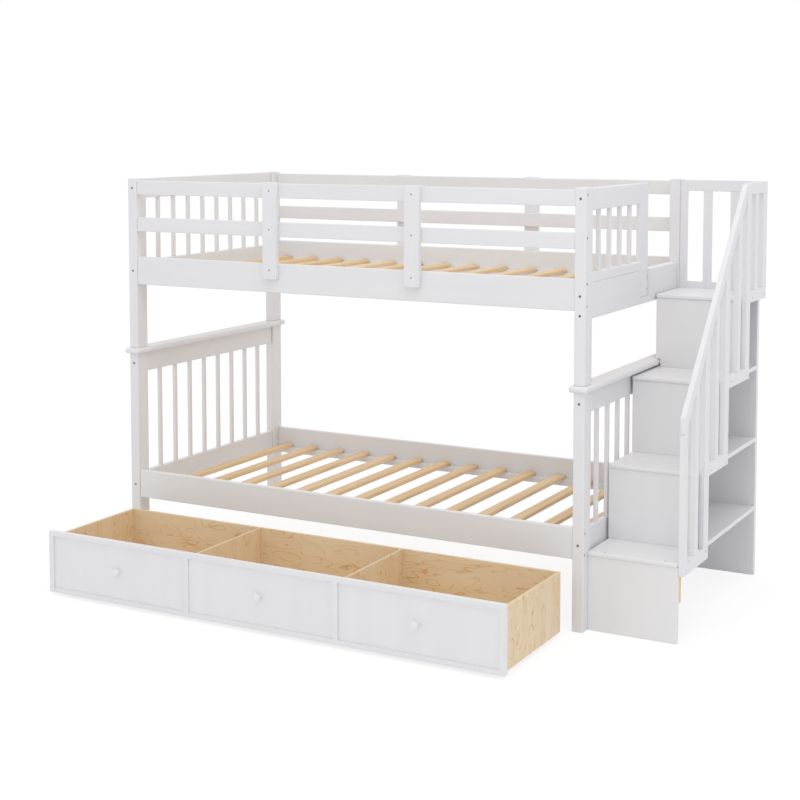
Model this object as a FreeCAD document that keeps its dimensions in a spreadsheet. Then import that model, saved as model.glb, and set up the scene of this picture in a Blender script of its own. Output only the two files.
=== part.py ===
import FreeCAD, Part
import os
import re
import Sketcher

# Bunk bed with storage stairs. Millimetres, +Z up, X along the bed, Y from front to back.
# The origin is on the floor, at the middle of the front left post's foot. The sizes below are
# measured from that post's outer corner, and place() takes them to the origin.

os.makedirs("parts", exist_ok=True)
doc = FreeCAD.newDocument("bunk_bed")
sheet = doc.addObject("Spreadsheet::Sheet", "dims")

# Heights of the upper bed are measured from the top of the caps, where its posts stand.
VALUES = {
    # the bed as a whole
    "bed_length": 2000, "bed_width": 1070,
    "post_x": 42, "post_y": 65, "lower_post_top": 856, "upper_post_height": 695,
    "cap_thick": 23, "cap_lip": 15, "wood_soft": 3, "cap_soft": 9,
    # long rails of both beds
    "rail_setback": 4, "rail_thick": 22, "rail_height": 113, "lower_rail_low": 260,
    "upper_rail_rise": 263, "guard_height": 57, "guard_mid_rise": 480, "guard_top_rise": 630,
    "batten_width": 63, "batten_low_rise": 316, "batten_high_rise": 691,
    "batten_left_in": 698, "batten_right_in": 679,
    # ends of both beds
    "end_inset": 10, "end_thick": 22, "end_height": 80,
    "lower_end_low": 264, "lower_end_low_height": 96, "upper_end_rise": 278, "end_top_rise": 614,
    "spindle": 15, "spindle_gaps": 9,
    # entry end, beside the stairs
    "entry_board_rise": 231, "entry_board_height": 128, "entry_board_thick": 15,
    "entry_facing_thick": 21, "entry_rail_thick": 22, "entry_rail_length": 511,
    "entry_rail_height": 35, "entry_top_height": 78, "entry_top_rise": 614,
    "entry_stile_thick": 12, "entry_stile_width": 102, "entry_pocket_rise": 24,
    "entry_spindle_first": 95,
    # slats and the cleats under them
    "slat_width": 47, "slat_thick": 17, "slat_first": 79, "slat_last": 89, "slat_count": 14,
    "slat_end_gap": 3, "cleat_width": 22, "cleat_height": 27, "cleat_end_gap": 20,
    # bolts, nuts, screws and pins
    "bolt_radius": 3, "bolt_hole_radius": 3.25, "bolt_head_radius": 4.5, "bolt_bore_radius": 5,
    "bolt_bore_depth": 6, "bolt_head_sink": 1, "bolt_bite": 38, "bolt_hole_spare": 4,
    "bolt_margin": 17, "guard_bolt_rise": 11.5, "end_top_bolt_rise": 656,
    "nut_radius": 5, "nut_hole_radius": 5.1, "nut_length": 14, "entry_nut_length": 10, "nut_back": 25,
    "entry_upper_bolt": 85, "entry_lower_bolt": 16,
    "screw_radius": 2, "screw_hole_radius": 2.1, "screw_length": 30, "screw_tip": 1,
    "screw_head_radius": 3.5, "screw_head_bore": 3.6, "screw_head_depth": 2,
    "batten_screw_drop": 24, "stile_screw_in": 10, "stile_upper_screw": 31, "stile_lower_screw": 77,
    "stile_screw_length": 24,
    "tread_screw_left": 62, "tread_screw_right": 46, "guard_screw_in": 30,
    "pin_radius": 6, "pin_hole_radius": 6.1, "pin_reach": 25, "pin_spare": 1,
    # stairs
    "stair_width": 330, "board": 16, "nosing": 6,
    "riser_a": 45, "riser_b": 243, "riser_c": 482, "riser_d": 740,
    "level_a": 286, "level_b": 562, "level_c": 850, "level_d": 1136,
    "side_thick": 15, "cap_clear": 3,
    "back_inset": 80, "back_thick": 18, "back_stile_width": 32, "back_stile_thick": 24,
    "shelf_thick": 16, "shelf_drop": 6, "shelf_cleat": 18, "shelf_cleat_length": 200,
    "corner_cleat": 24, "corner_cleat_height": 130,
    # railing on the open side of the stairs
    "guard_front": 50, "guard_thick": 20, "newel_width": 36,
    "guard_rail": 46, "guard_a_drop": 48, "guard_b_drop": 25, "guard_c_drop": 31, "guard_d_drop": 25,
    "guard_a_end": 323, "guard_b_end": 552, "guard_c_end": 813,
    "guard_post": 52, "baluster": 38, "baluster_a": 167, "baluster_b": 391, "baluster_c": 655,
    "baluster_d": 872, "hand_low": 792, "hand_high": 1571, "hand_end": 757, "hand_drop": 64,
    "top_rail": 44,
    # short guard behind the top step
    "gate_drop": 24, "gate_bottom_rail": 51, "gate_stile_width": 29, "gate_slat_a": 96,
    "gate_slat_b": 206, "gate_slat_width": 34, "gate_slat_thick": 14,
    # drawer, drawn out in front of the bed
    "drawer_out": 556, "drawer_gap": 2, "drawer_under_rail": 11, "front_low": 13, "front_thick": 20,
    "front_end": 22, "front_top": 18, "front_bottom": 18, "front_stile": 20,
    "panel_thick": 14, "box_inset": 14, "box_low": 15, "box_top_drop": 18, "box_wall": 12,
    "box_depth": 472, "bottom_thick": 9, "divider_thick": 9,
    "knob_radius": 15, "knob_depth": 9, "knob_neck_radius": 6.5, "knob_neck": 16, "knob_high": 133.5,
    # casters under the drawer
    "wheel_radius": 20, "wheel_width": 16, "wheel_bore": 3.05, "wheel_soft": 2, "wheel_clear": 4,
    "axle_radius": 3, "fork_hole_radius": 3.05, "fork_gap": 1, "fork_thick": 2, "fork_length": 34,
    "fork_below_axle": 8, "axle_end": 1, "caster_side": 150, "caster_in": 70,
}

# Places that follow from the values above.
DERIVED = {
    "upper_base": "lower_post_top + cap_thick",
    "post_top": "upper_base + upper_post_height",
    "upper_rail_low": "upper_base + upper_rail_rise",
    "guard_mid_low": "upper_base + guard_mid_rise",
    "guard_top_low": "upper_base + guard_top_rise",
    "batten_low": "upper_base + batten_low_rise",
    "batten_high": "upper_base + batten_high_rise",
    "batten_left_mid": "batten_left_in",
    "batten_right_mid": "bed_length - batten_right_in",
    "upper_end_low": "upper_base + upper_end_rise",
    "upper_end_top_low": "upper_base + end_top_rise",
    "end_top_bolt": "upper_base + end_top_bolt_rise",
    "spindle_pitch": "(bed_width - 2 * post_y) / spindle_gaps",
    "entry_board_low": "upper_base + entry_board_rise",
    "entry_board_high": "entry_board_low + entry_board_height",
    "entry_inner": "bed_length - post_x",
    "entry_seam": "entry_inner + entry_board_thick",
    "entry_outer": "entry_seam + entry_facing_thick",
    "entry_rail_inner": "entry_outer - entry_rail_thick",
    "entry_rail_middle": "entry_outer - entry_rail_thick / 2",
    "entry_rail_end": "post_y + entry_rail_length",
    "entry_top_low": "upper_base + entry_top_rise",
    "entry_top_high": "entry_top_low + entry_top_height",
    "stile_outer": "entry_seam + entry_stile_thick",
    "entry_stile_end": "entry_rail_end + entry_stile_width",
    "slat_pitch": "(bed_length - slat_first - slat_last - slat_width) / (slat_count - 1)",
    "stair_left": "bed_length",
    "stair_right": "bed_length + stair_width",
    "cap_edge": "bed_length + cap_lip + cap_clear",
    "side_inner": "cap_edge + side_thick",
    "back_stile_left": "stair_right - back_stile_width",
    "back_front": "bed_width - back_inset",
    "back_out": "back_front + back_stile_thick",
    "guard_d_end": "back_out + board",
    "guard_a_low": "level_a - guard_a_drop",
    "guard_b_low": "level_b - guard_b_drop",
    "guard_c_low": "level_c - guard_c_drop",
    "guard_d_low": "level_d - guard_d_drop",
    "gate_low": "level_d - gate_drop",
    "gate_bottom_high": "gate_low + gate_bottom_rail",
    "front_left": "post_x + drawer_gap",
    "front_right": "bed_length - post_x - drawer_gap",
    "front_high": "lower_rail_low - drawer_under_rail",
    "front_face": "-drawer_out",
    "front_inside": "front_thick - drawer_out",
    "panel_face": "front_inside - panel_thick",
    "panel_width": "(front_right - front_left - 2 * front_end - 2 * front_stile) / 3",
    "box_left": "front_left + box_inset",
    "box_right": "front_right - box_inset",
    "box_high": "front_high - box_top_drop",
    "box_back": "front_inside + box_depth",
    "bottom_low": "2 * wheel_radius + wheel_clear + fork_thick",
    "bottom_high": "bottom_low + bottom_thick",
}

for row, (alias, number) in enumerate(VALUES.items(), start=1):
    sheet.set(f"A{row}", alias)
    sheet.set(f"B{row}", str(number))
    sheet.setAlias(f"B{row}", alias)
doc.recompute()


def named(text):
    """The text with its derived names written out and its values' names pointing at the sheet."""
    def written_out(word):
        name = word.group()
        return f"({named(DERIVED[name])})" if name in DERIVED else "dims." + name
    return re.sub(r"[A-Za-z_]\w*", written_out, str(text))


def bind(thing, prop, text):
    thing.setExpression(prop, named(text))


def worth(text):
    """What an expression comes to with the first values."""
    return float(doc.getObject("dims").evalExpression(named(text)))


def place(thing, x="0", y="0", z="0"):
    """Set a piece at a place that is measured from the front left post's outer corner."""
    bind(thing, "Placement.Base.x", f"{x} - post_x / 2")
    bind(thing, "Placement.Base.y", f"{y} - post_y / 2")
    bind(thing, "Placement.Base.z", z)


blanks = {}
holes = {}


def board(label, x, y, z, soft="wood_soft"):
    """A straight board from low to high on each axis, its edges rounded."""
    body = doc.addObject("PartDesign::Body", label)
    block = body.newObject("PartDesign::AdditiveBox", label + "_box")
    for prop, (low, high) in zip(("Length", "Width", "Height"), (x, y, z)):
        bind(block, prop, f"({high}) - ({low})")
    body.Tip = block
    if soft:
        rounded = body.newObject("PartDesign::Fillet", label + "_edges")
        rounded.Base = (block, [""])
        rounded.UseAllEdges = True
        bind(rounded, "Radius", soft)
        body.Tip = rounded
    place(body, x[0], y[0], z[0])
    blanks[label] = body
    return body


def outline(label, points, span, soft=None):
    """A board with a cut outline in the YZ plane, its thickness along X given by span."""
    body = doc.addObject("PartDesign::Body", label)
    sketch = body.newObject("Sketcher::SketchObject", label + "_outline")
    plane = [face for face in body.Origin.OriginFeatures if face.Role == "YZ_Plane"][0]
    sketch.AttachmentSupport = [(plane, "")]
    sketch.MapMode = "FlatFace"
    corners = [FreeCAD.Vector(worth(y), worth(z), 0) for y, z in points]
    count = len(corners)
    for i in range(count):
        sketch.addGeometry(Part.LineSegment(corners[i], corners[(i + 1) % count]), False)
    for i in range(count):
        sketch.addConstraint(Sketcher.Constraint("Coincident", i, 2, (i + 1) % count, 1))
    for i, pair in enumerate(points):
        for kind, text, number in zip(("DistanceX", "DistanceY"), pair, corners[i]):
            at = sketch.addConstraint(Sketcher.Constraint(kind, -1, 1, i, 1, number))
            bind(sketch, f"Constraints[{at}]", text)
    pad = body.newObject("PartDesign::Pad", label + "_pad")
    pad.Profile = sketch
    bind(pad, "Length", f"({span[1]}) - ({span[0]})")
    body.Tip = pad
    if soft:
        rounded = body.newObject("PartDesign::Fillet", label + "_edges")
        rounded.Base = (pad, [""])
        rounded.UseAllEdges = True
        bind(rounded, "Radius", soft)
        body.Tip = rounded
    place(body, x=span[0])
    blanks[label] = body
    return body


TURNS = {
    "x": FreeCAD.Rotation(FreeCAD.Vector(0, 1, 0), 90),
    "y": FreeCAD.Rotation(FreeCAD.Vector(1, 0, 0), -90),
    "z": FreeCAD.Rotation(),
}


def rod(label, axis, across, radius, span):
    """A round bar along an axis; across is its centre on the two other axes."""
    bar = doc.addObject("Part::Cylinder", label)
    bar.Placement = FreeCAD.Placement(FreeCAD.Vector(), TURNS[axis])
    bind(bar, "Radius", radius)
    bind(bar, "Height", f"({span[1]}) - ({span[0]})")
    at = dict(zip([a for a in "xyz" if a != axis], across))
    at[axis] = span[0]
    place(bar, **at)
    return bar


def reach(face, sign, near, far):
    """Low and high ends of a stretch that starts near a face and runs into the wood."""
    if sign > 0:
        return f"{face} + ({near})", f"{face} + ({far})"
    return f"{face} - ({far})", f"{face} - ({near})"


def joined(label, kind, pieces):
    """One object from several: a fused solid, or a set of solids that stay apart."""
    if len(pieces) == 1:
        return pieces[0]
    whole = doc.addObject(kind, label)
    setattr(whole, "Links" if kind == "Part::Compound" else "Shapes", pieces)
    return whole


def bore(label, tool):
    holes.setdefault(label, []).append(tool)


def drilled(label):
    """The board with its holes, under the board's own name."""
    body = blanks[label]
    if label not in holes:
        body.Label = label
        return body
    body.Label = label + "_blank"
    cut = doc.addObject("Part::Cut", label + "_drilled")
    cut.Base = body
    cut.Tool = joined(label + "_holes", "Part::MultiFuse", holes[label])
    cut.Label = label
    return cut


# Corners of the bed: outer faces of each post and the way into the bed from them.
SIDES = {"left": ("0", 1), "right": ("bed_length", -1)}
FACES = {"front": ("0", 1), "back": ("bed_width", -1)}
CORNERS = [(side, face) for side in SIDES for face in FACES]


def post_name(tier, side, face):
    return f"{tier}_post_{face}_{side}"


# ---- posts, in two tiers, pinned through the caps of the lower bed ends ----
pins = []
for side, face in CORNERS:
    (x_face, x_way), (y_face, y_way) = SIDES[side], FACES[face]
    x_span = reach(x_face, x_way, "0", "post_x")
    y_span = reach(y_face, y_way, "0", "post_y")
    board(post_name("lower", side, face), x_span, y_span, ("0", "lower_post_top"))
    board(post_name("upper", side, face), x_span, y_span,
          ("upper_base", "post_top"))
    middle = (f"({x_span[0]} + {x_span[1]}) / 2", f"({y_span[0]} + {y_span[1]}) / 2")
    hole = rod(f"pin_hole_{face}_{side}", "z", middle, "pin_hole_radius",
               ("lower_post_top - pin_reach - pin_spare", "upper_base + pin_reach + pin_spare"))
    for label in (post_name("lower", side, face), post_name("upper", side, face),
                  f"{side}_end_cap"):
        bore(label, hole)
    pins.append(rod(f"pin_{face}_{side}", "z", middle, "pin_radius",
                    ("lower_post_top - pin_reach", "upper_base + pin_reach")))

# ---- caps that finish the ends of the lower bed ----
for side, (x_face, x_way) in SIDES.items():
    board(f"{side}_end_cap", reach(x_face, x_way, "-cap_lip", "post_x + cap_lip"),
          ("-cap_lip", "bed_width + cap_lip"), ("lower_post_top", "upper_base"), soft="cap_soft")

# ---- ends of both beds: two rails and a row of spindles ----
between_posts = ("post_y", "bed_width - post_y")
END_RAILS = {
    "lower_{}_bottom_rail": ("lower_end_low", "lower_end_low + lower_end_low_height"),
    "lower_{}_top_rail": ("lower_post_top - end_height", "lower_post_top"),
}
for side, (x_face, x_way) in SIDES.items():
    for pattern, z_span in END_RAILS.items():
        board(pattern.format(side), reach(x_face, x_way, "end_inset", "end_inset + end_thick"),
              between_posts, z_span)
left_span = reach("0", 1, "end_inset", "end_inset + end_thick")
board("upper_left_bottom_rail", left_span, between_posts,
      ("upper_end_low", "upper_end_low + end_height"))
board("upper_left_top_rail", left_span, between_posts,
      ("upper_end_top_low", "upper_end_top_low + end_height"))


def spindles(label, x_middle, z_span, first, count):
    pieces = []
    for i in range(count):
        y_middle = f"{first} + {i} * spindle_pitch"
        pieces.append(board(f"{label}_{i + 1}",
                            (f"{x_middle} - spindle / 2", f"{x_middle} + spindle / 2"),
                            (f"{y_middle} - spindle / 2", f"{y_middle} + spindle / 2"),
                            z_span, soft="spindle / 8"))
    return pieces


spindle_first = "post_y + spindle_pitch"
spindle_count = round(worth("spindle_gaps")) - 1
lower_gap = ("lower_end_low + lower_end_low_height", "lower_post_top - end_height")
lower_spindles = []
for side, (x_face, x_way) in SIDES.items():
    x_middle = reach(x_face, x_way, "post_x / 2", "post_x / 2")[0]
    lower_spindles += spindles(f"lower_{side}_spindle", x_middle, lower_gap,
                               spindle_first, spindle_count)
upper_left_spindles = spindles("upper_left_spindle", "post_x / 2",
                               ("upper_end_low + end_height", "upper_end_top_low"),
                               spindle_first, spindle_count)

# ---- entry end of the upper bed: doubled board, short guard and a stile beside the opening ----
entry_z = ("entry_board_low", "entry_board_high")
guard_y = ("post_y", "entry_rail_end")
board("entry_end_board", ("entry_inner", "entry_seam"), between_posts, entry_z)
board("entry_facing", ("entry_seam", "entry_outer"), between_posts, entry_z)
# the stile stands in a pocket that is cut into the facing from above
pocket_low = "entry_board_low + entry_pocket_rise"
stile_y = ("entry_rail_end", "entry_stile_end")
bore("entry_facing", board("stile_pocket", ("entry_seam", "entry_outer"), stile_y,
                           (pocket_low, "entry_board_high"), soft=None))
board("entry_stile", ("entry_seam", "stile_outer"), stile_y, (pocket_low, "entry_top_high"))
entry_rail_x = ("entry_rail_inner", "entry_outer")
board("entry_guard_bottom_rail", entry_rail_x, guard_y,
      ("entry_board_high", "entry_board_high + entry_rail_height"))
board("entry_guard_top_rail", entry_rail_x, guard_y, ("entry_top_low", "entry_top_high"))
entry_spindles = spindles("entry_spindle", "entry_rail_middle",
                          ("entry_board_high + entry_rail_height", "entry_top_low"),
                          "post_y + entry_spindle_first", 4)

# ---- long rails and guards, front and back ----
rail_x = ("post_x", "bed_length - post_x")
LONG_RAILS = {
    "lower_side_rail": ("lower_rail_low", "lower_rail_low + rail_height"),
    "upper_side_rail": ("upper_rail_low", "upper_rail_low + rail_height"),
    "guard_mid_rail": ("guard_mid_low", "guard_mid_low + guard_height"),
    "guard_top_rail": ("guard_top_low", "guard_top_low + guard_height"),
}
for face, (y_face, y_way) in FACES.items():
    for name, z_span in LONG_RAILS.items():
        board(f"{face}_{name}", rail_x,
              reach(y_face, y_way, "rail_setback", "rail_setback + rail_thick"), z_span)
    for which in ("left", "right"):
        middle = f"batten_{which}_mid"
        board(f"{face}_{which}_batten",
              (f"{middle} - batten_width / 2", f"{middle} + batten_width / 2"),
              reach(y_face, y_way, "rail_setback - rail_thick", "rail_setback"),
              ("batten_low", "batten_high"))

# ---- slats on cleats ----
slats = {"lower": [], "upper": []}
cleats = []
for tier in slats:
    low = f"{tier}_rail_low"
    for face, (y_face, y_way) in FACES.items():
        start = "rail_setback + rail_thick"
        cleats.append(board(f"{tier}_{face}_cleat",
                            ("post_x + cleat_end_gap", "bed_length - post_x - cleat_end_gap"),
                            reach(y_face, y_way, start, f"{start} + cleat_width"),
                            (low, f"{low} + cleat_height")))
    inner = "rail_setback + rail_thick + slat_end_gap"
    for i in range(round(worth("slat_count"))):
        left = f"slat_first + {i} * slat_pitch"
        slats[tier].append(board(f"{tier}_slat_{i + 1}", (left, f"{left} + slat_width"),
                                 (inner, f"bed_width - ({inner})"),
                                 (f"{low} + cleat_height", f"{low} + cleat_height + slat_thick"),
                                 soft="slat_thick / 3"))

# ---- bolts through the posts into barrel nuts in the rails ----
side_bolts, end_bolts, nuts = [], [], []


def inward(face, way, distance):
    """The place at a distance inward from an outer face."""
    return f"{face} + {distance}" if way > 0 else f"{face} - ({distance})"


def bolted(post, face, way, depth, axis, across, rail, nut_axis, nut_face, nut_long, store):
    """A bolt from a sunk head in the post's outer face to a barrel nut in the rail's end.

    depth is the post's thickness along the bolt, and across the bolt's centre on the other axes.
    The nut lies across the bolt, its middle on the bolt. Its hole comes in from the low face of an
    end rail and from the high face of a side rail, which are the faces hidden from the front right.
    """
    number = len(side_bolts) + len(end_bolts) + 1
    level = across[1]
    end = f"{depth} + bolt_bite"
    bore(post, rod(f"bolt_hole_{number}", axis, across, "bolt_hole_radius",
                   reach(face, way, "0", depth)))
    bore(post, rod(f"head_bore_{number}", axis, across, "bolt_bore_radius",
                   reach(face, way, "0", "bolt_bore_depth")))
    bore(rail, rod(f"rail_bolt_hole_{number}", axis, across, "bolt_hole_radius",
                   reach(face, way, depth, f"{end} + bolt_hole_spare")))
    shank = rod(f"shank_{number}", axis, across, "bolt_radius",
                reach(face, way, "bolt_bore_depth", end))
    head = rod(f"head_{number}", axis, across, "bolt_head_radius",
               reach(face, way, "bolt_head_sink", "bolt_bore_depth"))
    store.append(joined(f"bolt_{number}", "Part::MultiFuse", [head, shank]))
    nut_at = (inward(face, way, f"{depth} + nut_back"), level)
    nut_span = (f"{across[0]} - {nut_long} / 2", f"{across[0]} + {nut_long} / 2")
    hole_span = (nut_face, nut_span[1]) if nut_axis == "x" else (nut_span[0], nut_face)
    bore(rail, rod(f"nut_hole_{number}", nut_axis, nut_at, "nut_hole_radius", hole_span))
    barrel = rod(f"barrel_{number}", nut_axis, nut_at, "nut_radius", nut_span)
    thread = rod(f"thread_{number}", axis, across, "bolt_hole_radius",
                 reach(face, way, depth, f"{end} + bolt_hole_spare"))
    nut = doc.addObject("Part::Cut", f"nut_{number}")
    nut.Base, nut.Tool = barrel, thread
    nuts.append(nut)


RAIL_BOLTS = [
    ("lower", "lower_side_rail", "lower_rail_low + bolt_margin"),
    ("lower", "lower_side_rail", "lower_rail_low + rail_height - bolt_margin"),
    ("upper", "upper_side_rail", "upper_rail_low + bolt_margin"),
    ("upper", "upper_side_rail", "upper_rail_low + rail_height - bolt_margin"),
    ("upper", "guard_mid_rail", "guard_mid_low + guard_height / 2 + guard_bolt_rise"),
    ("upper", "guard_top_rail", "guard_top_low + guard_height / 2 + guard_bolt_rise"),
]
END_BOLTS = [
    ("lower", "lower_{}_bottom_rail", "lower_end_low + lower_end_low_height / 2"),
    ("lower", "lower_{}_top_rail", "lower_post_top - end_height / 2"),
]
LEFT_BOLTS = [
    ("upper", "upper_left_bottom_rail", "upper_end_low + end_height / 2"),
    ("upper", "upper_left_top_rail", "end_top_bolt"),
]
for side, face in CORNERS:
    (x_face, x_way), (y_face, y_way) = SIDES[side], FACES[face]
    rail_middle = inward(y_face, y_way, "rail_setback + rail_thick / 2")
    rail_high_face = inward(y_face, y_way, "rail_setback" + (" + rail_thick" if y_way > 0 else ""))
    for tier, rail, level in RAIL_BOLTS:
        bolted(post_name(tier, side, face), x_face, x_way, "post_x", "x", (rail_middle, level),
               f"{face}_{rail}", "y", rail_high_face, "nut_length", side_bolts)
    end_middle = inward(x_face, x_way, "end_inset + end_thick / 2")
    end_low_face = inward(x_face, x_way, "end_inset" + (" + end_thick" if x_way < 0 else ""))
    for tier, rail, level in END_BOLTS + (LEFT_BOLTS if side == "left" else []):
        bolted(post_name(tier, side, face), y_face, y_way, "post_y", "y", (end_middle, level),
               rail.format(side), "x", end_low_face, "nut_length", end_bolts)
ENTRY_BOLTS = [
    ("front", "entry_facing", "entry_board_low + entry_lower_bolt", "entry_seam"),
    ("front", "entry_facing", "entry_board_low + entry_upper_bolt", "entry_seam"),
    ("back", "entry_facing", "entry_board_low + entry_lower_bolt", "entry_seam"),
    ("back", "entry_facing", "entry_board_low + entry_upper_bolt", "entry_seam"),
    ("front", "entry_guard_top_rail", "end_top_bolt", "entry_rail_inner"),
]
for face, part, level, nut_face in ENTRY_BOLTS:
    y_face, y_way = FACES[face]
    bolted(post_name("upper", "right", face), y_face, y_way, "post_y", "y",
           ("bed_length - post_x / 2", level), part, "x", nut_face, "entry_nut_length", end_bolts)

# ---- stairs: side panel, back, four steps with risers, shelves behind them ----
RISERS = ["riser_a", "riser_b", "riser_c", "riser_d"]
LEVELS = ["level_a", "level_b", "level_c", "level_d"]
stair_x = ("stair_left", "stair_right")
# the cap of the lower bed's end stands out into the stairs, so what it meets is cut away round it
cap_slot = board("cap_slot", ("bed_length - cap_clear", "cap_edge"),
                 ("-cap_lip - cap_clear", "bed_width + cap_lip + cap_clear"),
                 ("lower_post_top - cap_clear", "upper_base + cap_clear"), soft=None)
for i in range(4):
    front, level = RISERS[i], LEVELS[i]
    low = "0" if i == 0 else LEVELS[i - 1]
    board(f"stair_riser_{i + 1}", stair_x, (front, f"{front} + board"), (low, f"{level} - board"),
          soft="wood_soft / 2")
    back = f"{RISERS[i + 1]} + board" if i < 3 else "back_out"
    label = f"stair_tread_{i + 1}" if i < 3 else "stair_platform"
    board(label, stair_x, (f"{front} - nosing", back), (f"{level} - board", level),
          soft="board / 3")
bore("stair_riser_4", cap_slot)

side_points = [("riser_a + board", "0"), ("back_front", "0"), ("back_front", "level_d - board")]
for i in (3, 2, 1):
    side_points += [(f"{RISERS[i]} + board", f"{LEVELS[i]} - board"),
                    (f"{RISERS[i]} + board", f"{LEVELS[i - 1]} - board")]
side_points.append(("riser_a + board", "level_a - board"))
outline("stair_side_panel", side_points, ("cap_edge", "side_inner"))
board("stair_back_panel", ("stair_left", "back_stile_left"),
      ("back_front", "back_front + back_thick"), ("0", "level_d - board"), soft="wood_soft / 2")
bore("stair_back_panel", cap_slot)
board("stair_back_stile", ("back_stile_left", "stair_right"), ("back_front", "back_out"),
      ("0", "level_d - board"), soft="wood_soft / 2")

shelves, stair_cleats = [], []
for i in range(3):
    low = f"{LEVELS[i]} - shelf_drop - shelf_thick"
    start = f"{RISERS[i + 1]} + board"
    shelves.append(board(f"stair_shelf_{i + 1}", ("side_inner", "stair_right"),
                         (start, "back_front"), (low, f"{low} + shelf_thick"),
                         soft="wood_soft / 2"))
    stair_cleats.append(board(f"shelf_cleat_{i + 1}", ("side_inner", "side_inner + shelf_cleat"),
                              ("back_front - shelf_cleat_length", "back_front"),
                              (f"{low} - shelf_cleat", low), soft="wood_soft / 2"))
stair_cleats.append(board("corner_cleat", ("stair_right - corner_cleat", "stair_right"),
                          ("riser_a + board", "riser_a + board + corner_cleat"),
                          ("level_a - board - corner_cleat_height", "level_a - board"),
                          soft="wood_soft / 2"))

# ---- railing on the open side ----
guard_x = ("stair_right", "stair_right + guard_thick")
hand_slope = "(hand_high - hand_low) / (hand_end - guard_front)"


def under_hand(y):
    """Height of the handrail's underside at y."""
    return f"hand_low - hand_drop + ({y} - guard_front) * {hand_slope}"


def upright(label, y_span, low):
    """A guard upright cut off along the handrail's underside."""
    points = [(y_span[0], low), (y_span[1], low), (y_span[1], under_hand(y_span[1])),
              (y_span[0], under_hand(y_span[0]))]
    return outline(label, points, guard_x, soft="wood_soft / 2")


STEPS = "abcd"
guard_rails, balusters = [], []
guard_posts = [upright("stair_newel", ("guard_front", "guard_front + newel_width"), "guard_a_low")]
for i, step in enumerate(STEPS):
    low = f"guard_{step}_low"
    top = f"{low} + guard_rail"
    end = f"guard_{step}_end"
    start = "guard_front + newel_width" if i == 0 else f"guard_{STEPS[i - 1]}_end"
    guard_rails.append(board(f"stair_guard_rail_{step}", guard_x, (start, end), (low, top),
                             soft="wood_soft / 2"))
    post_y = (f"{end} - guard_post", end)
    bar_y = (f"baluster_{step}", f"baluster_{step} + baluster")
    if i < 2:
        guard_posts.append(upright(f"stair_guard_post_{step}", post_y, top))
    else:
        guard_posts.append(board(f"stair_guard_post_{step}", guard_x, post_y,
                                 (top, "hand_high - top_rail"), soft="wood_soft / 2"))
    if i < 3:
        balusters.append(upright(f"stair_baluster_{step}", bar_y, top))
    else:
        balusters.append(board(f"stair_baluster_{step}", guard_x, bar_y,
                               (top, "hand_high - top_rail"), soft="wood_soft / 2"))
guard_rails.append(board("stair_top_rail", guard_x, ("hand_end", "guard_d_end"),
                         ("hand_high - top_rail", "hand_high"), soft="wood_soft / 2"))
outline("stair_handrail",
        [("guard_front", "hand_low - hand_drop"), ("hand_end", "hand_high - hand_drop"),
         ("hand_end", "hand_high"), ("guard_front", "hand_low")], guard_x, soft="wood_soft")

# ---- short guard behind the top step ----
gate_y = ("back_out", "guard_d_end")
gate_stile_x = ("stair_left", "stair_left + gate_stile_width")
gate_x = (gate_stile_x[1], "stair_right")
gate_frame = [
    board("gate_stile", gate_stile_x, gate_y, ("gate_low", "hand_high"), soft="wood_soft / 2"),
    board("gate_bottom_rail", gate_x, gate_y, ("gate_low", "gate_bottom_high"), soft="wood_soft / 2"),
    board("gate_top_rail", gate_x, gate_y, ("hand_high - top_rail", "hand_high"),
          soft="wood_soft / 2"),
]
gate_middle = "back_out + board / 2"
gate_slats = [
    board(f"gate_bar_{which}",
          (f"stair_left + gate_slat_{which}", f"stair_left + gate_slat_{which} + gate_slat_width"),
          (f"{gate_middle} - gate_slat_thick / 2", f"{gate_middle} + gate_slat_thick / 2"),
          ("gate_bottom_high", "hand_high - top_rail"), soft="wood_soft / 2")
    for which in "ab"
]

# ---- screws ----
screws = []


def screwed(axis, face, way, across, parts, length="screw_length"):
    """A screw with its head flush in a face, through the first part into the second."""
    number = len(screws) + 1
    shank = rod(f"screw_shank_{number}", axis, across, "screw_radius",
                reach(face, way, "screw_head_depth", length))
    head = rod(f"screw_head_{number}", axis, across, "screw_head_radius",
               reach(face, way, "0", "screw_head_depth"))
    screws.append(joined(f"screw_{number}", "Part::MultiFuse", [head, shank]))
    hole = rod(f"screw_hole_{number}", axis, across, "screw_hole_radius",
               reach(face, way, "0", f"{length} + screw_tip"))
    sink = rod(f"screw_sink_{number}", axis, across, "screw_head_bore",
               reach(face, way, "0", "screw_head_depth"))
    bore(parts[0], sink)
    for part in parts:
        bore(part, hole)


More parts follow.
